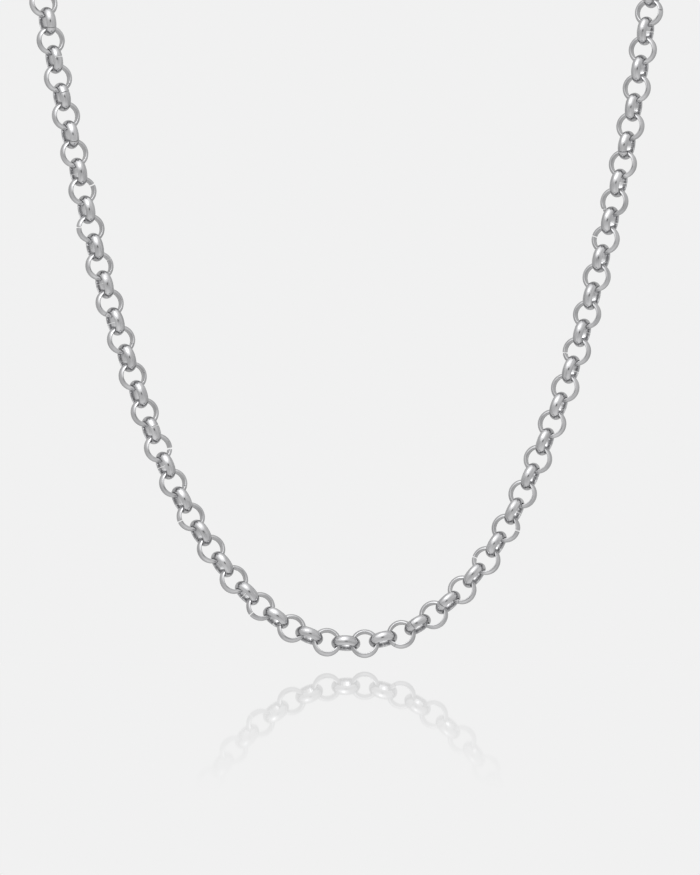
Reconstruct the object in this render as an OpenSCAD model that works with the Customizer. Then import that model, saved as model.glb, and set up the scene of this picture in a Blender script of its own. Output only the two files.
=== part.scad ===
// A necklace of round links, each one turned a quarter against the next.
// The front hangs in an upright plane, and the rest goes back round the neck to a clasp at the nape.
// The origin is the seat on the nape: +Z is up, +X is the photograph's right and -Y is the front.

/* [Link] */
// Outside diameter of a link
link_d = 5.1; // [4.6:0.1:5.6]
// Thickness of the wire, from the flat inside to the top of the dome
wire_h = 0.64; // [0.5:0.01:0.72]
// Width of the band that the wire makes
band_w = 1.7; // [1.3:0.05:1.8]
// Width of the broken edge on the inside of the band
edge_break = 0.1; // [0.06:0.02:0.16]
// Height of the band's edge, from the flat inside to where the dome starts
edge_h = 0.16; // [0.12:0.02:0.24]
// Least room between the inside edges of neighbouring links
link_clearance = 0.16; // [0.12:0.01:0.2]
// Width of the cut at the seam of a closed link
seam_gap = 0.1; // [0.06:0.02:0.2]

/* [Lie of the chain] */
// Turn of the links about the chain on the side strands, in degrees
strand_turn = 22; // [0:1:30]
// Turn of the links about the chain at the middle of the front, in degrees
front_turn = 17.5; // [0:0.5:30]

/* [Clasp] */
// Length of the clasp
clasp_l = 11; // [10:0.5:14]
// Width of the claw
clasp_w = 5.4; // [5:0.2:7]
// Thickness of the clasp
clasp_t = 1.4; // [1:0.1:1.5]
// Width of the metal round the holes
clasp_bar = 0.9; // [0.7:0.05:1]
// Diameter of the eye's hole
eye_bore = 3.1; // [2.9:0.1:3.4]
// Room between a hole's end and the link that hangs in it
clasp_play = 0.6; // [0.5:0.05:0.7]

/* [Hidden] */
$fn = 48;

steel = [0.77, 0.77, 0.78];
plain_steel = [0.7, 0.7, 0.71];

// Plane of the front, which hangs upright, and the depth at which the neck is widest
front_y = -68;
side_y = -42;
// Height above which the chain faces the middle of the hollow level with itself
hollow_z = -120;

// Route of the chain's middle line: from the nape round to the left strand, down it,
// along the front, up the right strand and back round to the nape
chain_route = [
    [0, 2.5, 0],
    [-28.7, -3.8, -2.6],
    [-50.3, -21.7, -7.4],
    [-58, side_y, -10],
    [-57.8, -51.5, -13],
    [-56.5, -59.6, -18.3],
    [-54.9, -65.4, -25.9],
    [-52.8, front_y, -34.6],
    [-50.35, front_y, -47.65],
    [-48.2, front_y, -57.5],
    [-46.05, front_y, -67.35],
    [-43.9, front_y, -77.2],
    [-41.3, front_y, -86.95],
    [-38.3, front_y, -96.45],
    [-36.25, front_y, -102.85],
    [-32.85, front_y, -112.25],
    [-28.75, front_y, -121.3],
    [-23.6, front_y, -129.85],
    [-17.4, front_y, -137.6],
    [-9.55, front_y, -143.7],
    [-3.4, front_y, -146.1],
    [3.2, front_y, -146.35],
    [9.65, front_y, -144.7],
    [15.25, front_y, -141.3],
    [22.4, front_y, -134.5],
    [27.85, front_y, -126.15],
    [32.1, front_y, -117.2],
    [35.9, front_y, -107.95],
    [39.25, front_y, -98.5],
    [42, front_y, -88.9],
    [44.45, front_y, -79.15],
    [46.75, front_y, -69.3],
    [48.95, front_y, -59.35],
    [51.2, front_y, -46.1],
    [52.8, front_y, -35.9],
    [54.4, -65.8, -27.2],
    [56, -60.1, -19.1],
    [56.9, -51.9, -13.2],
    [57.1, side_y, -10.2],
    [49.6, -22.1, -7.5],
    [28.4, -4, -2.6]
];
// Row of the route at which the front link lies
front_row = 21;
// Points worked out between two rows of the route
row_points = 16;

// How far the links have slid from even steps: [share of the loop's length, share of a step]
slide_rows = [
    [0.1, 0],
    [0.23, -0.036],
    [0.3, -0.006],
    [0.36, 0.039],
    [0.41, 0.012],
    [0.5, -0.066],
    [0.55, -0.138],
    [0.61, -0.207],
    [0.66, -0.2],
    [0.74, -0.093],
    [0.79, -0.06],
    [0.92, 0]
];

// Turn of the links about the chain: [share of the loop's length, degrees]
turn_rows = [
    [0, 0],
    [0.22, strand_turn],
    [0.43, strand_turn],
    [0.5, front_turn],
    [0.6, front_turn],
    [0.67, strand_turn],
    [0.78, strand_turn],
    [1, 0]
];

// Seams that show: [link counted from the front one, degrees from the chain's run, width in seam gaps]
seam_rows = [
    [-39, -57, 1],
    [-37, -102, 2],
    [-36, 48, 1],
    [-35, -109, 2],
    [-33, -56, 1],
    [-32, -10, 1],
    [-30, 102, 3],
    [-28, -114, 3.5],
    [-26, 108, 1],
    [-24, -42, 1],
    [-22, 50, 1],
    [-17, -106, 2],
    [-16, 57, 4.5],
    [-14, 48, 1],
    [-12, -101, 2],
    [-8, 137, 1],
    [-6, -105, 2],
    [-2, 51, 1],
    [2, -141, 1],
    [3, -112, 1.5],
    [5, -119, 1],
    [6, -149, 1],
    [8, 103, 2.5],
    [10, -80, 2.5],
    [18, 46, 2],
    [20, 105, 3],
    [26, 83, 2],
    [28, 126, 4.5],
    [31, -129, 2],
    [38, -82, 2]
];
// Where the other seams lie, in degrees from the chain's run: under the next link on the links
// that face front, behind on those that are seen edge on, and how far they stray from there
flat_seam = 165;
edge_seam = 65;
seam_stray = 45;
stray_share = 0.382;

// Sizes of the link
outer_r = link_d / 2;
inner_r = outer_r - wire_h;
flat_w = band_w - 2 * edge_break;
dome_h = wire_h - edge_h;
dome_r = (pow(band_w / 2, 2) + pow(dome_h, 2)) / (2 * dome_h);

// Distance from a link's middle at which its neighbour's inside edge passes through it
function reach(room) = sqrt(pow(inner_r - room, 2) - pow(flat_w / 2, 2));
pitch = reach(0) + reach(link_clearance);

// Distance between the middles of the links that the clasp joins
clasp_span = clasp_l - 2 * clasp_bar + 2 * (inner_r - clasp_play);

function unit(v) = v / norm(v);

// A smooth curve through the rows of the route
rows = len(chain_route);
function row(i) = chain_route[(i + rows) % rows];
function gap(i) = norm(row(i + 1) - row(i));
function slope(i) = (gap(i - 1) * (row(i + 1) - row(i)) / gap(i)
    + gap(i) * (row(i) - row(i - 1)) / gap(i - 1)) / (gap(i - 1) + gap(i));
function between(i, u) = row(i) * (2 * pow(u, 3) - 3 * pow(u, 2) + 1)
    + slope(i) * gap(i) * (pow(u, 3) - 2 * pow(u, 2) + u)
    + row(i + 1) * (3 * pow(u, 2) - 2 * pow(u, 3))
    + slope(i + 1) * gap(i) * (pow(u, 3) - pow(u, 2));
curve = [
    for (i = [0:rows - 1], j = [0:row_points - 1]) between(i, j / row_points),
    row(0)
];

// Length of the curve up to each of its points
steps = [for (i = [0:len(curve) - 2]) norm(curve[i + 1] - curve[i]), 0];
runs = [for (i = 0, run = 0; i < len(curve); run = run + steps[i], i = i + 1) run];
route_l = runs[len(runs) - 1];
front_l = runs[front_row * row_points];
x_rows = [for (i = [0:len(curve) - 1]) [runs[i], curve[i].x]];
y_rows = [for (i = [0:len(curve) - 1]) [runs[i], curve[i].y]];
z_rows = [for (i = [0:len(curve) - 1]) [runs[i], curve[i].z]];
function place(l) = [lookup(l, x_rows), lookup(l, y_rows), lookup(l, z_rows)];

// The links: an odd number, so that both end links face the same way, with the pitch that fills the route
link_steps = 2 * round((route_l - clasp_span) / pitch / 2);
link_pitch = (route_l - clasp_span) / link_steps;
front_link = 2 * round((front_l - clasp_span / 2) / link_pitch / 2);
function even_l(i) = clasp_span / 2 + i * link_pitch;
function link_l(i) = even_l(i) + link_pitch * lookup(even_l(i) / route_l, slide_rows);
function route_place(i) = place(link_l(i));

// The chain's run, the way to the inside of the loop, and the way that its front faces
function inward(run, way) = unit(way - (way * run) * run);
function run_dir(i) = unit(place(link_l(i) + link_pitch / 2) - place(link_l(i) - link_pitch / 2));
function hollow_dir(p) = [0, min(p.y, side_y), max(p.z, hollow_z)] - p;
function inward_dir(i) = inward(run_dir(i), hollow_dir(route_place(i)));
function front_dir(i) = cross(run_dir(i), inward_dir(i));
function turn(i) = lookup(link_l(i) / route_l, turn_rows);

// The axis of a link: every second one faces front, and the others are a quarter turn from it
function faces_front(i) = i % 2 == 0;
function link_axis(i) = faces_front(i)
    ? cos(turn(i)) * front_dir(i) + sin(turn(i)) * inward_dir(i)
    : cos(turn(i)) * inward_dir(i) - sin(turn(i)) * front_dir(i);

// The chain's pull draws each link along its own axis until its neighbours lie in its plane
function pull(i) = (route_place(i - 1) + route_place(i + 1)) / 2 - route_place(i);
function link_place(i) = i == 0 || i == link_steps
    ? route_place(i)
    : route_place(i) + (pull(i) * link_axis(i)) * link_axis(i);

// A link's seam, from its row or from the plain rule
function stray(i) = seam_stray * (abs(i) * stray_share % 1);
function plain_seam(i) = [(faces_front(i) ? flat_seam : edge_seam) + stray(i), 1];
function shown_seam(i) = [for (r = seam_rows) if (r[0] == i - front_link) [r[1], r[2]]];
function seam(i) = len(shown_seam(i)) > 0 ? shown_seam(i)[0] : plain_seam(i);

// Puts its children at a place, with their X and Z along the given directions
module stand(at, x, z) {
    y = cross(z, x);
    multmatrix([
        [x[0], y[0], z[0], at[0]],
        [x[1], y[1], z[1], at[1]],
        [x[2], y[2], z[2], at[2]]
    ])
        children();
}

// Section of the wire: a band with broken inside edges, cut off by the dome
module wire_section() {
    intersection() {
        translate([outer_r - dome_r, 0])
            circle(dome_r);
        polygon([
            [inner_r, -flat_w / 2],
            [inner_r + edge_break, -band_w / 2],
            [outer_r + wire_h, -band_w / 2],
            [outer_r + wire_h, band_w / 2],
            [inner_r + edge_break, band_w / 2],
            [inner_r, flat_w / 2]
        ]);
    }
}

// One link on the Z axis, cut through at its seam
module ring(cut, width) {
    cut_half = asin(width / 2 / outer_r);
    rotate([0, 0, cut + cut_half])
        rotate_extrude(angle = 360 - 2 * cut_half)
            wire_section();
}

module chain_link(i) {
    stand(link_place(i), run_dir(i), link_axis(i))
        ring(seam(i)[0], seam(i)[1] * seam_gap);
}

module chain_left() {
    color(steel)
        for (i = [0:front_link - 1])
            chain_link(i);
}

module chain_right() {
    color(steel)
        for (i = [front_link:link_steps])
            chain_link(i);
}

// Outline of the clasp along X: an eye at the left end and a closed claw at the right
eye_r = eye_bore / 2 + clasp_bar;
claw_r = clasp_w / 2;
claw_bore_r = claw_r - clasp_bar;
eye_x = -clasp_l / 2 + eye_r;
claw_x = clasp_l / 2 - claw_r;
// Metal between the two holes, and the radius of the claw's hole at its narrow end
neck_w = 1.5 * clasp_bar;
throat_r = 0.8;
throat_x = eye_x + eye_bore / 2 + neck_w + throat_r;
// Share of an end's radius at which the sides between the two ends meet it
shoulder = 0.8;

module clasp_outline() {
    translate([eye_x, 0])
        circle(eye_r);
    translate([claw_x, 0])
        circle(claw_r);
    polygon([
        [eye_x, -shoulder * eye_r],
        [claw_x, -shoulder * claw_r],
        [claw_x, shoulder * claw_r],
        [eye_x, shoulder * eye_r]
    ]);
}

module clasp_holes() {
    translate([eye_x, 0])
        circle(eye_bore / 2);
    translate([claw_x, 0])
        circle(claw_bore_r);
    translate([throat_x, 0])
        circle(throat_r);
    polygon([
        [throat_x, -shoulder * throat_r],
        [claw_x, -shoulder * claw_bore_r],
        [claw_x, shoulder * claw_bore_r],
        [throat_x, shoulder * throat_r]
    ]);
}

module clasp() {
    first = link_place(0);
    last = link_place(link_steps);
    along = unit(last - first);
    color(plain_steel)
        stand((first + last) / 2, along, inward(along, [0, 1, 0]))
            linear_extrude(clasp_t, center = true)
                difference() {
                    clasp_outline();
                    clasp_holes();
                }
}

chain_left();
chain_right();
clasp();
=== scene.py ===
"""A necklace of round links, hung as a closed loop over a pale studio floor."""

import bisect
import math

import bpy
from bpy.props import FloatProperty, FloatVectorProperty, PointerProperty
from mathutils import Matrix, Vector


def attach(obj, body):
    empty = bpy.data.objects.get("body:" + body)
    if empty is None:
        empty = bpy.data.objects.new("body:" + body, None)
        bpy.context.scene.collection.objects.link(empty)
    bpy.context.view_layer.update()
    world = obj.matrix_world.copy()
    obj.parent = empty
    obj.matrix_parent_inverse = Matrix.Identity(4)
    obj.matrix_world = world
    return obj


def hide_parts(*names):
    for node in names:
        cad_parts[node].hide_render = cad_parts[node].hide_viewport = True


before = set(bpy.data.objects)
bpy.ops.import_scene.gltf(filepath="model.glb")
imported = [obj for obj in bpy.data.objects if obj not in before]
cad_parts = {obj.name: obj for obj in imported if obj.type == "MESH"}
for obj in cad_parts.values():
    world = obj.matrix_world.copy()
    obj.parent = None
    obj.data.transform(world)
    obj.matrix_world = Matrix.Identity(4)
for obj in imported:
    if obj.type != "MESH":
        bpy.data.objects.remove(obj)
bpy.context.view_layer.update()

bl_info = {
    "name": "Round link necklace",
    "version": (1, 0, 0),
    "blender": (4, 5, 0),
    "location": "3D View > Sidebar > Necklace",
    "description": "Builds the links, the clasp and the studio of a round link necklace",
    "category": "Object",
}

MM = 0.001


# Sizes and finishes


class LinkSizes(bpy.types.PropertyGroup):
    """Sizes of one link and the turn of the links about the chain."""

    link_d: FloatProperty(
        name="Link diameter", description="Outside diameter of a link",
        default=5.1 * MM, min=4.6 * MM, max=5.6 * MM, unit="LENGTH", precision=5)
    wire_h: FloatProperty(
        name="Wire thickness", description="From the flat inside to the top of the dome",
        default=0.64 * MM, min=0.5 * MM, max=0.72 * MM, unit="LENGTH", precision=5)
    band_w: FloatProperty(
        name="Band width", description="Width of the band that the wire makes",
        default=1.7 * MM, min=1.3 * MM, max=1.8 * MM, unit="LENGTH", precision=5)
    edge_break: FloatProperty(
        name="Edge break", description="Size of the rounding on the inside of the band",
        default=0.1 * MM, min=0.06 * MM, max=0.16 * MM, unit="LENGTH", precision=5)
    edge_h: FloatProperty(
        name="Edge height", description="From the flat inside to where the dome starts",
        default=0.16 * MM, min=0.12 * MM, max=0.24 * MM, unit="LENGTH", precision=5)
    link_clearance: FloatProperty(
        name="Link clearance", description="Least room between neighbouring links",
        default=0.16 * MM, min=0.12 * MM, max=0.2 * MM, unit="LENGTH", precision=5)
    seam_gap: FloatProperty(
        name="Seam gap", description="Width of the cut at the seam of a closed link",
        default=0.1 * MM, min=0.06 * MM, max=0.2 * MM, unit="LENGTH", precision=5)
    strand_turn: FloatProperty(
        name="Turn at the sides", description="Turn of the links about the chain on the side strands",
        default=math.radians(22), min=0, max=math.radians(30), subtype="ANGLE")
    front_turn: FloatProperty(
        name="Turn at the front", description="Turn of the links about the chain at the middle of the front",
        default=math.radians(17.5), min=0, max=math.radians(30), subtype="ANGLE")


class ClaspSizes(bpy.types.PropertyGroup):
    """Sizes of the clasp."""

    clasp_l: FloatProperty(
        name="Clasp length", description="Length of the clasp",
        default=11 * MM, min=10 * MM, max=14 * MM, unit="LENGTH", precision=5)
    clasp_bar: FloatProperty(
        name="Clasp bar", description="Width of the metal round the clasp's holes",
        default=0.9 * MM, min=0.7 * MM, max=1 * MM, unit="LENGTH", precision=5)
    clasp_play: FloatProperty(
        name="Clasp play", description="Room between a hole's end and the link that hangs in it",
        default=0.6 * MM, min=0.5 * MM, max=0.7 * MM, unit="LENGTH", precision=5)
    rounding: FloatProperty(
        name="Rounding", description="Radius of the clasp's polished edges",
        default=0.36 * MM, min=0.1 * MM, max=0.4 * MM, unit="LENGTH", precision=5)


class SteelFinish(bpy.types.PropertyGroup):
    """Colours and gloss of the steel."""

    bright: FloatVectorProperty(
        name="Bright steel", description="Colour where the steel is best polished",
        default=(0.77, 0.77, 0.78), min=0, max=1, subtype="COLOR")
    dull: FloatVectorProperty(
        name="Dull steel", description="Colour in the rub marks",
        default=(0.38, 0.38, 0.39), min=0, max=1, subtype="COLOR")
    gloss_low: FloatProperty(
        name="Roughness, polished", description="Roughness where the steel is best polished",
        default=0.09, min=0, max=1, subtype="FACTOR")
    gloss_high: FloatProperty(
        name="Roughness, rubbed", description="Roughness in the rub marks",
        default=0.24, min=0, max=1, subtype="FACTOR")
    mark_depth: FloatProperty(
        name="Mark depth", description="Depth of the fine marks along the wire",
        default=0.004 * MM, min=0, max=0.05 * MM, unit="LENGTH", precision=6)


class StudioSettings(bpy.types.PropertyGroup):
    """Camera, floor and light."""

    distance: FloatProperty(
        name="Camera distance", description="From the camera to the plane of the chain's front",
        default=0.9, min=0.3, max=3, unit="LENGTH")
    view_h: FloatProperty(
        name="Height of the view", description="Height that the picture takes in at the chain's front",
        default=152.7 * MM, min=0.05, max=1, unit="LENGTH")
    view_x: FloatProperty(
        name="Middle of the view, X", description="Middle of the picture, to the right of the loop's middle",
        default=0.63 * MM, min=-0.1, max=0.1, unit="LENGTH", precision=5)
    view_z: FloatProperty(
        name="Middle of the view, Z", description="Middle of the picture, above the seat on the nape",
        default=-110.35 * MM, min=-0.3, max=0.1, unit="LENGTH", precision=5)
    floor_z: FloatProperty(
        name="Floor", description="Height of the glossy floor under the chain",
        default=-150 * MM, min=-0.3, max=-0.14, unit="LENGTH")
    backdrop: FloatVectorProperty(
        name="Backdrop", description="Colour of the floor and the backdrop",
        default=(0.88, 0.88, 0.88), min=0, max=1, subtype="COLOR")
    mirror: FloatProperty(
        name="Floor gloss", description="Share of the floor's mirror image that shows right under the chain",
        default=0.52, min=0, max=1, subtype="FACTOR")


# The route of the chain, and where each link lies on it

FRONT_Y = -68 * MM
SIDE_Y = -42 * MM
# Height above which the chain faces the middle of the hollow level with itself
HOLLOW_Z = -120 * MM
ROUTE = [Vector(point) * MM for point in (
    (0, 2.5, 0),
    (-28.7, -3.8, -2.6),
    (-50.3, -21.7, -7.4),
    (-58, -42, -10),
    (-57.8, -51.5, -13),
    (-56.5, -59.6, -18.3),
    (-54.9, -65.4, -25.9),
    (-52.8, -68, -34.6),
    (-50.35, -68, -47.65),
    (-48.2, -68, -57.5),
    (-46.05, -68, -67.35),
    (-43.9, -68, -77.2),
    (-41.3, -68, -86.95),
    (-38.3, -68, -96.45),
    (-36.25, -68, -102.85),
    (-32.85, -68, -112.25),
    (-28.75, -68, -121.3),
    (-23.6, -68, -129.85),
    (-17.4, -68, -137.6),
    (-9.55, -68, -143.7),
    (-3.4, -68, -146.1),
    (3.2, -68, -146.35),
    (9.65, -68, -144.7),
    (15.25, -68, -141.3),
    (22.4, -68, -134.5),
    (27.85, -68, -126.15),
    (32.1, -68, -117.2),
    (35.9, -68, -107.95),
    (39.25, -68, -98.5),
    (42, -68, -88.9),
    (44.45, -68, -79.15),
    (46.75, -68, -69.3),
    (48.95, -68, -59.35),
    (51.2, -68, -46.1),
    (52.8, -68, -35.9),
    (54.4, -65.8, -27.2),
    (56, -60.1, -19.1),
    (56.9, -51.9, -13.2),
    (57.1, -42, -10.2),
    (49.6, -22.1, -7.5),
    (28.4, -4, -2.6),
)]
# Row of the route at which the front link lies, and the points between two rows
FRONT_ROW = 21
ROW_POINTS = 16

# How far the links have slid from even steps: (share of the loop's length, share of a step)
SLIDE_ROWS = (
    (0.1, 0),
    (0.23, -0.036),
    (0.3, -0.006),
    (0.36, 0.039),
    (0.41, 0.012),
    (0.5, -0.066),
    (0.55, -0.138),
    (0.61, -0.207),
    (0.66, -0.2),
    (0.74, -0.093),
    (0.79, -0.06),
    (0.92, 0),
)

# Turn of the links about the chain: (share of the loop's length, which turn)
TURN_ROWS = (
    (0, None),
    (0.22, "strand_turn"),
    (0.43, "strand_turn"),
    (0.5, "front_turn"),
    (0.6, "front_turn"),
    (0.67, "strand_turn"),
    (0.78, "strand_turn"),
    (1, None),
)

# Seams that show: link counted from the front one, (degrees from the chain's run, width in seam gaps)
SEAM_ROWS = {
    -39: (-57, 1), -37: (-102, 2), -36: (48, 1), -35: (-109, 2), -33: (-56, 1),
    -32: (-10, 1), -30: (102, 3), -28: (-114, 3.5), -26: (108, 1), -24: (-42, 1),
    -22: (50, 1), -17: (-106, 2), -16: (57, 4.5), -14: (48, 1), -12: (-101, 2),
    -8: (137, 1), -6: (-105, 2), -2: (51, 1), 2: (-141, 1), 3: (-112, 1.5),
    5: (-119, 1), 6: (-149, 1), 8: (103, 2.5), 10: (-80, 2.5), 18: (46, 2),
    20: (105, 3), 26: (83, 2), 28: (126, 4.5), 31: (-129, 2), 38: (-82, 2),
}
# Degrees from the chain's run of the other seams, on links that face front and on those seen edge on
FLAT_SEAM = 165
EDGE_SEAM = 65
# Degrees over which they stray from there, and the share of them by which each link is ahead of the last
SEAM_STRAY = 45
STRAY_SHARE = 0.382


def lookup(value, rows):
    """The second column of rows at value, straight between the rows."""
    keys = [row[0] for row in rows]
    after = min(max(bisect.bisect_right(keys, value), 1), len(rows) - 1)
    (low, start), (high, end) = rows[after - 1], rows[after]
    share = min(max((value - low) / (high - low), 0), 1)
    return start + share * (end - start)


class Route:
    """The chain's middle line: a smooth closed curve through the rows of ROUTE."""

    def __init__(self):
        points = [
            self.between(i, j / ROW_POINTS)
            for i in range(len(ROUTE)) for j in range(ROW_POINTS)
        ]
        points.append(self.row(0))
        run = 0.0
        self.line = [(run, points[0])]
        for before, point in zip(points, points[1:]):
            run += (point - before).length
            self.line.append((run, point))
        self.length = run
        self.front = self.line[FRONT_ROW * ROW_POINTS][0]

    @staticmethod
    def row(i):
        return ROUTE[i % len(ROUTE)]

    def gap(self, i):
        return (self.row(i + 1) - self.row(i)).length

    def slope(self, i):
        before, after = self.gap(i - 1), self.gap(i)
        leaving = (self.row(i + 1) - self.row(i)) / after
        coming = (self.row(i) - self.row(i - 1)) / before
        return (before * leaving + after * coming) / (before + after)

    def between(self, i, u):
        gap = self.gap(i)
        return (
            self.row(i) * (2 * u**3 - 3 * u**2 + 1)
            + self.slope(i) * gap * (u**3 - 2 * u**2 + u)
            + self.row(i + 1) * (3 * u**2 - 2 * u**3)
            + self.slope(i + 1) * gap * (u**3 - u**2)
        )

    def place(self, run):
        return lookup(run, self.line)


class Chain:
    """Where every link lies and how it is turned, worked out from the sizes."""

    def __init__(self, sizes, clasp):
        self.sizes = sizes
        self.route = Route()
        outer_r = sizes.link_d / 2
        inner_r = outer_r - sizes.wire_h
        flat_w = sizes.band_w - 2 * sizes.edge_break

        def reach(room):
            return math.sqrt((inner_r - room) ** 2 - (flat_w / 2) ** 2)

        pitch = reach(0) + reach(sizes.link_clearance)
        self.span = clasp.clasp_l - 2 * clasp.clasp_bar + 2 * (inner_r - clasp.clasp_play)
        self.steps = 2 * round((self.route.length - self.span) / pitch / 2)
        self.pitch = (self.route.length - self.span) / self.steps
        self.front_link = 2 * round((self.route.front - self.span / 2) / self.pitch / 2)
        self.turn_rows = [
            (share, getattr(sizes, name) if name else 0) for share, name in TURN_ROWS
        ]

    def run_at(self, i):
        even = self.span / 2 + i * self.pitch
        return even + lookup(even / self.route.length, SLIDE_ROWS) * self.pitch

    def route_place(self, i):
        return self.route.place(self.run_at(i))

    def run_dir(self, i):
        half = self.pitch / 2
        ahead = self.route.place(self.run_at(i) + half)
        return (ahead - self.route.place(self.run_at(i) - half)).normalized()

    def axis(self, i):
        """The link's axis: every second link faces front, and the others are a quarter turn from it."""
        run = self.run_dir(i)
        place = self.route_place(i)
        hollow = Vector((0, min(place.y, SIDE_Y), max(place.z, HOLLOW_Z))) - place
        inward = (hollow - hollow.dot(run) * run).normalized()
        front = run.cross(inward)
        turn = lookup(self.run_at(i) / self.route.length, self.turn_rows)
        if i % 2 == 0:
            return math.cos(turn) * front + math.sin(turn) * inward
        return math.cos(turn) * inward - math.sin(turn) * front

    def place(self, i):
        """The chain's pull draws a link along its own axis until its neighbours lie in its plane."""
        place = self.route_place(i)
        if i in (0, self.steps):
            return place
        pull = (self.route_place(i - 1) + self.route_place(i + 1)) / 2 - place
        axis = self.axis(i)
        return place + pull.dot(axis) * axis

    def seam(self, i):
        """The seam's angle from the chain's run and its width."""
        stray = SEAM_STRAY * (abs(i) * STRAY_SHARE % 1)
        plain = ((FLAT_SEAM if i % 2 == 0 else EDGE_SEAM) + stray, 1)
        angle, gaps = SEAM_ROWS.get(i - self.front_link, plain)
        return math.radians(angle), gaps * self.sizes.seam_gap

    def stand(self, i):
        """The matrix that puts a link that lies round the Z axis, with X along the run, in its place."""
        run, axis = self.run_dir(i), self.axis(i)
        return Matrix((run, axis.cross(run), axis)).transposed().to_4x4()


# Help for the operators


def deselect():
    if bpy.context.mode != "OBJECT":
        bpy.ops.object.mode_set(mode="OBJECT")
    bpy.ops.object.select_all(action="DESELECT")


def activate(piece):
    deselect()
    piece.select_set(True)
    bpy.context.view_layer.objects.active = piece


def apply_modifier(piece, kind, **settings):
    activate(piece)
    modifier = piece.modifiers.new(kind.title(), kind)
    for name, value in settings.items():
        setattr(modifier, name, value)
    bpy.ops.object.modifier_apply(modifier=modifier.name)


# The links

# Points round the circle that gives the dome, segments of a rounded edge, and steps round a link
DOME_POINTS = 24
EDGE_POINTS = 2
RING_STEPS = 72
# Length below which points count as one
JOIN = 1e-7
# Angle between faces above which an edge stays sharp
SHARP = math.radians(50)
# Place, in link widths, that a link's faces are sorted from: in none of its planes of symmetry
SORT_FROM = Vector((1, 1 / 2, 1 / 3))
# Length by which the marks of one link start further on than its neighbour's, in millimetres
MARK_SHIFT = 31.0


def cut_off(place, normal):
    """Cuts the section along a plane and drops what lies on the side that the normal points to."""
    bpy.ops.mesh.select_all(action="SELECT")
    bpy.ops.mesh.bisect(plane_co=place, plane_no=normal, clear_outer=True, threshold=JOIN)


def select_points(piece, chosen):
    """Selects the vertices for which chosen(place) is true."""
    bpy.ops.mesh.select_mode(type="VERT")
    bpy.ops.mesh.select_all(action="DESELECT")
    bpy.ops.object.mode_set(mode="OBJECT")
    for vertex in piece.data.vertices:
        vertex.select = chosen(vertex.co)
    bpy.ops.object.mode_set(mode="EDIT")


def sort_faces(place):
    """Sorts the selected faces by distance from a place: spin leaves them in another order each run."""
    cursor = bpy.context.scene.cursor
    cursor.location = place
    bpy.ops.mesh.sort_elements(type="CURSOR_DISTANCE", elements={"FACE"})
    cursor.location = (0, 0, 0)


def make_link(sizes, width):
    """A link round the Z axis, with its seam of the given width on +X."""
    outer_r = sizes.link_d / 2
    inner_r = outer_r - sizes.wire_h
    edge_z = sizes.band_w / 2
    dome_h = sizes.wire_h - sizes.edge_h
    dome_r = (edge_z**2 + dome_h**2) / (2 * dome_h)
    deselect()
    bpy.ops.mesh.primitive_circle_add(
        vertices=DOME_POINTS, radius=dome_r, fill_type="NGON",
        location=(outer_r - dome_r, 0, 0), rotation=(math.pi / 2, 0, 0))
    link = bpy.context.active_object
    bpy.ops.object.transform_apply(location=True, rotation=True, scale=True)
    bpy.ops.object.mode_set(mode="EDIT")
    cut_off((inner_r, 0, 0), (-1, 0, 0))
    cut_off((0, 0, edge_z), (0, 0, 1))
    cut_off((0, 0, -edge_z), (0, 0, -1))
    select_points(link, lambda co: co.x < inner_r + JOIN)
    bpy.ops.mesh.bevel(
        offset=sizes.edge_break, offset_type="OFFSET", segments=EDGE_POINTS, affect="VERTICES")
    bpy.ops.mesh.select_all(action="SELECT")
    half_cut = math.asin(width / 2 / outer_r)
    bpy.ops.mesh.spin(
        steps=RING_STEPS, angle=2 * (math.pi - half_cut), center=(0, 0, 0), axis=(0, 0, 1))
    bpy.ops.mesh.select_all(action="SELECT")
    bpy.ops.mesh.normals_make_consistent(inside=False)
    sort_faces(sizes.link_d * SORT_FROM)
    bpy.ops.object.mode_set(mode="OBJECT")
    return link


def mark_wire(link, sizes):
    """Keeps each point's place as an attribute in millimetres: along the wire, out from the axis, across."""
    inner_r = sizes.link_d / 2 - sizes.wire_h
    places = link.data.attributes.new("wire", "FLOAT_VECTOR", "POINT")
    for vertex, place in zip(link.data.vertices, places.data):
        angle = math.atan2(vertex.co.y, vertex.co.x) % (2 * math.pi)
        radius = math.hypot(vertex.co.x, vertex.co.y)
        place.vector = Vector((angle * inner_r, radius, vertex.co.z)) / MM


def finish_link(link, sizes):
    activate(link)
    bpy.ops.object.shade_smooth_by_angle(angle=SHARP)
    apply_modifier(link, "WEIGHTED_NORMAL", keep_sharp=True)
    mark_wire(link, sizes)


def copy_link(link, chain, i, seam):
    """A copy of the link with its own mesh, in its place in the chain."""
    copy = link.copy()
    copy.data = link.data.copy()
    bpy.context.collection.objects.link(copy)
    place = Matrix.Translation(chain.place(i)) @ chain.stand(i)
    half_cut = math.asin(seam[1] / chain.sizes.link_d)
    copy.data.transform(place @ Matrix.Rotation(seam[0] + half_cut, 4, "Z"))
    for point in copy.data.attributes["wire"].data:
        point.vector.x += i * MARK_SHIFT
    return copy


def join_links(name, chain, numbers, material):
    """The links of one half of the chain as one piece, each cut at its own seam."""
    seams = {i: chain.seam(i) for i in numbers}
    patterns = {}
    for width in sorted({width for _, width in seams.values()}):
        patterns[width] = make_link(chain.sizes, width)
        finish_link(patterns[width], chain.sizes)
    copies = [copy_link(patterns[seams[i][1]], chain, i, seams[i]) for i in numbers]
    for pattern in patterns.values():
        bpy.data.objects.remove(pattern)
    deselect()
    for copy in copies:
        copy.select_set(True)
    half = copies[0]
    bpy.context.view_layer.objects.active = half
    bpy.ops.object.join()
    half.name = name
    half.data.name = name
    half.data.materials.clear()
    half.data.materials.append(material)
    return half


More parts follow.
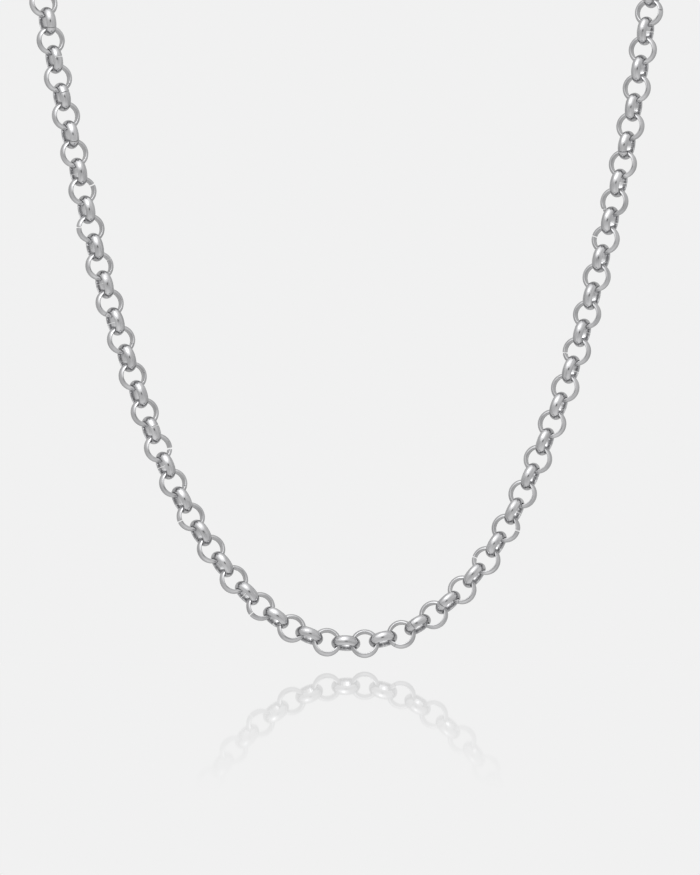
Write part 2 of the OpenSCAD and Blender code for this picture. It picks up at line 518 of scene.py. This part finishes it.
class NECKLACE_OT_chain(bpy.types.Operator):
    """Add the two halves of the chain, link by link"""

    bl_idname = "necklace.chain"
    bl_label = "Add Chain"
    bl_options = {"REGISTER", "UNDO"}

    def execute(self, context):
        scene = context.scene
        chain = Chain(scene.necklace_links, scene.necklace_clasp)
        steel = chain_steel(scene.necklace_steel)
        halves = {
            "chain_left": range(chain.front_link),
            "chain_right": range(chain.front_link, chain.steps + 1),
        }
        for node, numbers in halves.items():
            half = join_links(node.replace("chain", "links"), chain, numbers, steel)
            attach(half, "root")
            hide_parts(node)
        return {"FINISHED"}


# The clasp

# Segments of a rounded edge
CLASP_EDGE_POINTS = 4
# Distance within which the corners of the CAD model's loose triangles are joined
WELD = 0.001 * MM
# Angle between faces below which they count as one flat face
FLAT = math.radians(1)


class NECKLACE_OT_clasp(bpy.types.Operator):
    """Add the clasp with its polished edges"""

    bl_idname = "necklace.clasp"
    bl_label = "Add Clasp"
    bl_options = {"REGISTER", "UNDO"}

    def execute(self, context):
        sizes = context.scene.necklace_clasp
        clasp = bpy.data.objects.new("clasp_rounded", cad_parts["clasp"].data.copy())
        bpy.context.collection.objects.link(clasp)
        activate(clasp)
        bpy.ops.object.mode_set(mode="EDIT")
        bpy.ops.mesh.select_all(action="SELECT")
        bpy.ops.mesh.remove_doubles(threshold=WELD)
        bpy.ops.mesh.dissolve_limited(angle_limit=FLAT)
        bpy.ops.mesh.select_mode(type="EDGE")
        bpy.ops.mesh.select_all(action="DESELECT")
        bpy.ops.mesh.edges_select_sharp(sharpness=SHARP)
        bpy.ops.mesh.bevel(
            offset=sizes.rounding, offset_type="OFFSET", segments=CLASP_EDGE_POINTS, affect="EDGES")
        bpy.ops.object.mode_set(mode="OBJECT")
        bpy.ops.object.shade_smooth_by_angle(angle=SHARP)
        apply_modifier(clasp, "WEIGHTED_NORMAL", keep_sharp=True)
        clasp.data.materials.clear()
        clasp.data.materials.append(clasp_steel(context.scene.necklace_steel))
        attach(clasp, "root")
        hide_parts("clasp")
        return {"FINISHED"}


# Materials

# How far the lines are drawn out along the wire
LINE_STRETCH = (0.1, 1, 1)
# Smears and scratches to a millimetre
SMEAR_SCALE = 0.55
SCRATCH_SCALE = 3.1
# Turn of the scratches from the wire in radians, and how they are stretched along and across it
SCRATCH_SLANT = (0.2, 0.5, 0.35)
SCRATCH_STRETCH = (0.25, 2.6, 2.6)
# Span of each pattern's noise over which its mask goes from none to full
LINE_SPAN = (0.3, 0.7)
SMEAR_SPAN = (0.35, 0.65)
SCRATCH_SPAN = (0.68, 0.74)
# What each pattern adds to the wear, and the depth of a scratch against a line's height
LINE_WEAR = 0.6
SMEAR_WEAR = 0.25
SCRATCH_WEAR = 0.4
SCRATCH_DEPTH = 1.5
# Lines to a millimetre
CHAIN_LINES = 2.4
CLASP_LINES = 4
# Sockets of the Mix node that a mix of colours uses: the share, the two colours and the result
MIX_SHARE, MIX_FIRST, MIX_SECOND, MIX_RESULT = 0, 6, 7, 2


class Tree:
    """Short calls for building a node tree."""

    def __init__(self, tree):
        self.tree = tree

    def node(self, kind, values=None, **settings):
        """A node of a kind, with its settings and its sockets' values or the sockets that feed them."""
        node = self.tree.nodes.new(kind)
        for name, value in settings.items():
            setattr(node, name, value)
        for name, value in (values or {}).items():
            if isinstance(value, bpy.types.NodeSocket):
                self.tree.links.new(value, node.inputs[name])
            else:
                node.inputs[name].default_value = value
        return node

    def math(self, operation, *values):
        return self.node("ShaderNodeMath", dict(enumerate(values)), operation=operation).outputs[0]

    def span(self, value, low, high, to_low=0.0, to_high=1.0):
        """Value drawn from low..high to to_low..to_high, without going past them."""
        node = self.node("ShaderNodeMapRange", {
            "Value": value, "From Min": low, "From Max": high, "To Min": to_low, "To Max": to_high,
        })
        return node.outputs["Result"]

    def blend(self, share, first, second):
        """The first colour where share is 0 and the second where it is 1."""
        node = self.node("ShaderNodeMix", {MIX_SHARE: share}, data_type="RGBA")
        for socket, colour in ((MIX_FIRST, first), (MIX_SECOND, second)):
            if isinstance(colour, bpy.types.NodeSocket):
                self.tree.links.new(colour, node.inputs[socket])
            else:
                node.inputs[socket].default_value = (*colour, 1)
        return node.outputs[MIX_RESULT]


def polish_group():
    """Masks of polished steel: fine lines along the wire, soft smears across them, and a few scratches."""
    group = bpy.data.node_groups.new("polish_marks", "ShaderNodeTree")
    for name, kind, way in (
        ("Place", "NodeSocketVector", "INPUT"),
        ("Line Scale", "NodeSocketFloat", "INPUT"),
        ("Lines", "NodeSocketFloat", "OUTPUT"),
        ("Smears", "NodeSocketFloat", "OUTPUT"),
        ("Scratches", "NodeSocketFloat", "OUTPUT"),
    ):
        group.interface.new_socket(name=name, in_out=way, socket_type=kind)
    tree = Tree(group)
    given = tree.node("NodeGroupInput")
    out = tree.node("NodeGroupOutput")
    place, scale = given.outputs["Place"], given.outputs["Line Scale"]
    drawn = tree.node("ShaderNodeMapping", {"Vector": place, "Scale": LINE_STRETCH})
    lines = tree.node("ShaderNodeTexNoise", {
        "Vector": drawn.outputs[0], "Scale": scale, "Detail": 4, "Roughness": 0.65})
    smears = tree.node("ShaderNodeTexNoise", {"Vector": place, "Scale": SMEAR_SCALE, "Detail": 3})
    slant = tree.node("ShaderNodeMapping", {
        "Vector": place, "Rotation": SCRATCH_SLANT, "Scale": SCRATCH_STRETCH})
    scratches = tree.node("ShaderNodeTexNoise", {
        "Vector": slant.outputs[0], "Scale": SCRATCH_SCALE, "Detail": 2, "Distortion": 0.6})
    for name, noise, span in (
        ("Lines", lines, LINE_SPAN),
        ("Smears", smears, SMEAR_SPAN),
        ("Scratches", scratches, SCRATCH_SPAN),
    ):
        tree.tree.links.new(tree.span(noise.outputs["Fac"], *span), out.inputs[name])
    return group


def steel_material(name, finish, place, lines_per_mm):
    """Polished steel: place(tree) gives the coordinates in millimetres that its marks follow."""
    material = bpy.data.materials.new(name)
    material.use_nodes = True
    tree = Tree(material.node_tree)
    shader = material.node_tree.nodes["Principled BSDF"]
    shader.inputs["Metallic"].default_value = 1
    group = bpy.data.node_groups.get("polish_marks") or polish_group()
    given = {"Place": place(tree), "Line Scale": lines_per_mm}
    marks = tree.node("ShaderNodeGroup", given, node_tree=group)
    lines, smears, scratches = (marks.outputs[name] for name in ("Lines", "Smears", "Scratches"))
    wear = tree.math("MULTIPLY_ADD", smears, SMEAR_WEAR, tree.math("MULTIPLY", lines, LINE_WEAR))
    wear = tree.math("ADD", wear, tree.math("MULTIPLY", scratches, SCRATCH_WEAR))
    colour = tree.blend(wear, tuple(finish.bright), tuple(finish.dull))
    rough = tree.span(wear, 0, 1, finish.gloss_low, finish.gloss_high)
    height = tree.math("SUBTRACT", lines, tree.math("MULTIPLY", scratches, SCRATCH_DEPTH))
    bump = tree.node("ShaderNodeBump", {"Height": height, "Distance": finish.mark_depth})
    for name, socket in (("Base Color", colour), ("Roughness", rough), ("Normal", bump.outputs[0])):
        tree.tree.links.new(socket, shader.inputs[name])
    return material


def chain_steel(finish):
    def along_wire(tree):
        return tree.node("ShaderNodeAttribute", attribute_name="wire").outputs["Vector"]
    return steel_material("chain_steel_polished", finish, along_wire, CHAIN_LINES)


def clasp_steel(finish):
    def over_piece(tree):
        place = tree.node("ShaderNodeTexCoord").outputs["Object"]
        return tree.node("ShaderNodeMapping", {"Vector": place, "Scale": (1 / MM,) * 3}).outputs[0]
    return steel_material("clasp_steel_polished", finish, over_piece, CLASP_LINES)


# The studio

FLOOR_SIZE = 6.0
FLOOR_ROUGHNESS = 0.02
# Distance behind the chain's front at which the floor's reflection ends
MIRROR_END = 10 * MM
# Distance in front of the chain at which it has faded out
FADE_REACH = 0.32
# The floor mirrors mostly at a grazing angle, as a smooth plastic sheet does
FLOOR_IOR = 1.5
# The room's light: (Z of the way to it, light), and its brightest
ROOM = (
    (-1, 0.91), (-0.6, 0.72), (-0.2, 0.67), (0.15, 0.73),
    (0.45, 0.77), (0.65, 0.79), (0.85, 0.95), (1, 1.26),
)
ROOM_TOP = 1.26
# Share of that light behind the chain, and the Y of a way between which it falls to that share
BACK_SHARE = 0.76
BACK_SPAN = (-0.3, 0.6)
# Y of a way from which it shows the plain backdrop, as the floor's reflection does from the front
STRAIGHT_SPAN = (0.984, 0.99)
# A way is (azimuth, elevation) in degrees from the chain's front. A reach is two angles from it in degrees:
# up to the first something is full, and from the second on it has ended.
# The camera keeps its share of the room's light off
CAMERA_SHADE = 0.88
CAMERA_WAY = (1.5, -2)
CAMERA_REACH = (5, 15)
# The key light: the glow round the softbox, the softbox's distance and side in metres, and its radiance
KEY_WAY = (-25, 46)
KEY_REACH = (8, 48)
KEY_GLOW = 0.8
SOFTBOX_DISTANCE = 0.6
SOFTBOX_SIDE = 0.26
SOFTBOX_RADIANCE = 1.75
# Height of the middle of the chain's front
FRONT_MID = -95 * MM


def grey(value):
    return (value, value, value, 1)


def direction(azimuth, elevation):
    """Unit vector for angles in degrees, seen from the chain: azimuth 0 is straight to the front."""
    azimuth, elevation = math.radians(azimuth), math.radians(elevation)
    return Vector((
        math.sin(azimuth) * math.cos(elevation),
        -math.cos(azimuth) * math.cos(elevation),
        math.sin(elevation),
    ))


def set_world(settings):
    """The backdrop, as the camera sees it, and the room that the steel mirrors."""
    world = bpy.data.worlds.new("studio")
    bpy.context.scene.world = world
    world.use_nodes = True
    tree = Tree(world.node_tree)
    shader = world.node_tree.nodes["Background"]
    ray = tree.node("ShaderNodeTexCoord").outputs["Generated"]
    way = tree.node("ShaderNodeSeparateXYZ", {0: ray})
    ramp = tree.node("ShaderNodeValToRGB", {"Fac": tree.span(way.outputs["Z"], -1, 1)})
    steps = ramp.color_ramp.elements
    steps[0].color = grey(ROOM[0][1] / ROOM_TOP)
    steps[1].color = grey(ROOM[-1][1] / ROOM_TOP)
    for height, value in ROOM[1:-1]:
        steps.new((height + 1) / 2).color = grey(value / ROOM_TOP)
    behind = tree.span(way.outputs["Y"], *BACK_SPAN, ROOM_TOP, ROOM_TOP * BACK_SHARE)
    room = tree.math("MULTIPLY", ramp.outputs[0], behind)

    def lobe(way_to, reach, at_end, at_full):
        """A value for rays near a direction and another for the rest, with a soft step between them."""
        towards = tree.node(
            "ShaderNodeVectorMath", {0: ray, 1: direction(*way_to)}, operation="DOT_PRODUCT")
        full, end = (math.cos(math.radians(angle)) for angle in reach)
        return tree.span(towards.outputs["Value"], end, full, at_end, at_full)

    room = tree.math("ADD", room, lobe(KEY_WAY, KEY_REACH, 0, KEY_GLOW))
    shade = lobe(CAMERA_WAY, CAMERA_REACH, 1, 1 - CAMERA_SHADE)
    light = tree.math("MULTIPLY", room, shade)
    straight = tree.span(way.outputs["Y"], *STRAIGHT_SPAN)
    seen = tree.math("MAXIMUM", tree.node("ShaderNodeLightPath").outputs["Is Camera Ray"], straight)
    tree.tree.links.new(tree.blend(seen, light, tuple(settings.backdrop)), shader.inputs["Color"])


def add_floor(settings):
    """The pale floor, which mirrors the chain for the camera alone."""
    deselect()
    bpy.ops.mesh.primitive_plane_add(size=FLOOR_SIZE, location=(0, 0, settings.floor_z))
    floor = bpy.context.active_object
    floor.name = "floor"
    bpy.ops.object.transform_apply(location=True, rotation=True, scale=True)
    material = bpy.data.materials.new("pale_floor")
    material.use_nodes = True
    material.node_tree.nodes.clear()
    tree = Tree(material.node_tree)
    seen = tree.node("ShaderNodeLightPath").outputs["Is Camera Ray"]
    place = tree.node("ShaderNodeSeparateXYZ", {0: tree.node("ShaderNodeTexCoord").outputs["Object"]})
    near = tree.span(place.outputs["Y"], FRONT_Y - FADE_REACH, FRONT_Y, 0, settings.mirror)
    front = tree.math("LESS_THAN", place.outputs["Y"], FRONT_Y + MIRROR_END)
    grazing = tree.node("ShaderNodeFresnel", {"IOR": FLOOR_IOR}).outputs[0]
    share = tree.math("MULTIPLY", tree.math("MULTIPLY", near, front), tree.math("MULTIPLY", grazing, seen))
    pale = tree.node("ShaderNodeEmission", {"Color": (*settings.backdrop, 1)})
    gloss = tree.node("ShaderNodeBsdfGlossy", {"Color": grey(1), "Roughness": FLOOR_ROUGHNESS})
    mixed = tree.node("ShaderNodeMixShader", {0: share, 1: pale.outputs[0], 2: gloss.outputs[0]})
    tree.node("ShaderNodeOutputMaterial", {"Surface": mixed.outputs[0]})
    floor.data.materials.append(material)
    floor.visible_glossy = False


def add_softbox():
    """A square light that faces the chain's front."""
    out = direction(*KEY_WAY)
    light = bpy.data.lights.new("softbox", "AREA")
    light.size = SOFTBOX_SIDE
    light.energy = SOFTBOX_RADIANCE * math.pi * SOFTBOX_SIDE**2
    softbox = bpy.data.objects.new("softbox", light)
    softbox.location = Vector((0, FRONT_Y, FRONT_MID)) + out * SOFTBOX_DISTANCE
    softbox.rotation_euler = out.to_track_quat("Z", "Y").to_euler()
    softbox.visible_camera = False
    bpy.context.collection.objects.link(softbox)


def add_camera(settings):
    data = bpy.data.cameras.new("camera")
    data.lens = data.sensor_width * settings.distance / settings.view_h
    camera = bpy.data.objects.new("camera", data)
    camera.location = (settings.view_x, FRONT_Y - settings.distance, settings.view_z)
    camera.rotation_euler = (math.pi / 2, 0, 0)
    bpy.context.collection.objects.link(camera)
    bpy.context.scene.camera = camera


class NECKLACE_OT_stage(bpy.types.Operator):
    """Add the floor, the backdrop, the softbox and the camera"""

    bl_idname = "necklace.stage"
    bl_label = "Add Stage"
    bl_options = {"REGISTER", "UNDO"}

    def execute(self, context):
        settings = context.scene.necklace_studio
        context.scene.view_settings.view_transform = "Standard"
        set_world(settings)
        add_floor(settings)
        add_softbox()
        add_camera(settings)
        return {"FINISHED"}


# The add-on


class NECKLACE_PT_panel(bpy.types.Panel):
    """Sizes of the necklace and a button for each of its pieces"""

    bl_idname = "NECKLACE_PT_panel"
    bl_label = "Necklace"
    bl_space_type = "VIEW_3D"
    bl_region_type = "UI"
    bl_category = "Necklace"

    def draw(self, context):
        scene = context.scene
        for group, operator in (
            (scene.necklace_links, NECKLACE_OT_chain),
            (scene.necklace_clasp, NECKLACE_OT_clasp),
            (scene.necklace_steel, None),
            (scene.necklace_studio, NECKLACE_OT_stage),
        ):
            box = self.layout.box()
            for name in group.bl_rna.properties.keys():
                if name not in ("rna_type", "name"):
                    box.prop(group, name)
            if operator:
                box.operator(operator.bl_idname)


CLASSES = (
    LinkSizes, ClaspSizes, SteelFinish, StudioSettings,
    NECKLACE_OT_chain, NECKLACE_OT_clasp, NECKLACE_OT_stage, NECKLACE_PT_panel,
)
GROUPS = {
    "necklace_links": LinkSizes,
    "necklace_clasp": ClaspSizes,
    "necklace_steel": SteelFinish,
    "necklace_studio": StudioSettings,
}


def register():
    for cls in CLASSES:
        bpy.utils.register_class(cls)
    for name, group in GROUPS.items():
        setattr(bpy.types.Scene, name, PointerProperty(type=group))


def unregister():
    for name in GROUPS:
        delattr(bpy.types.Scene, name)
    for cls in reversed(CLASSES):
        bpy.utils.unregister_class(cls)


def main():
    register()
    bpy.ops.necklace.stage()
    bpy.ops.necklace.chain()
    bpy.ops.necklace.clasp()


if __name__ == "__main__":
    main()
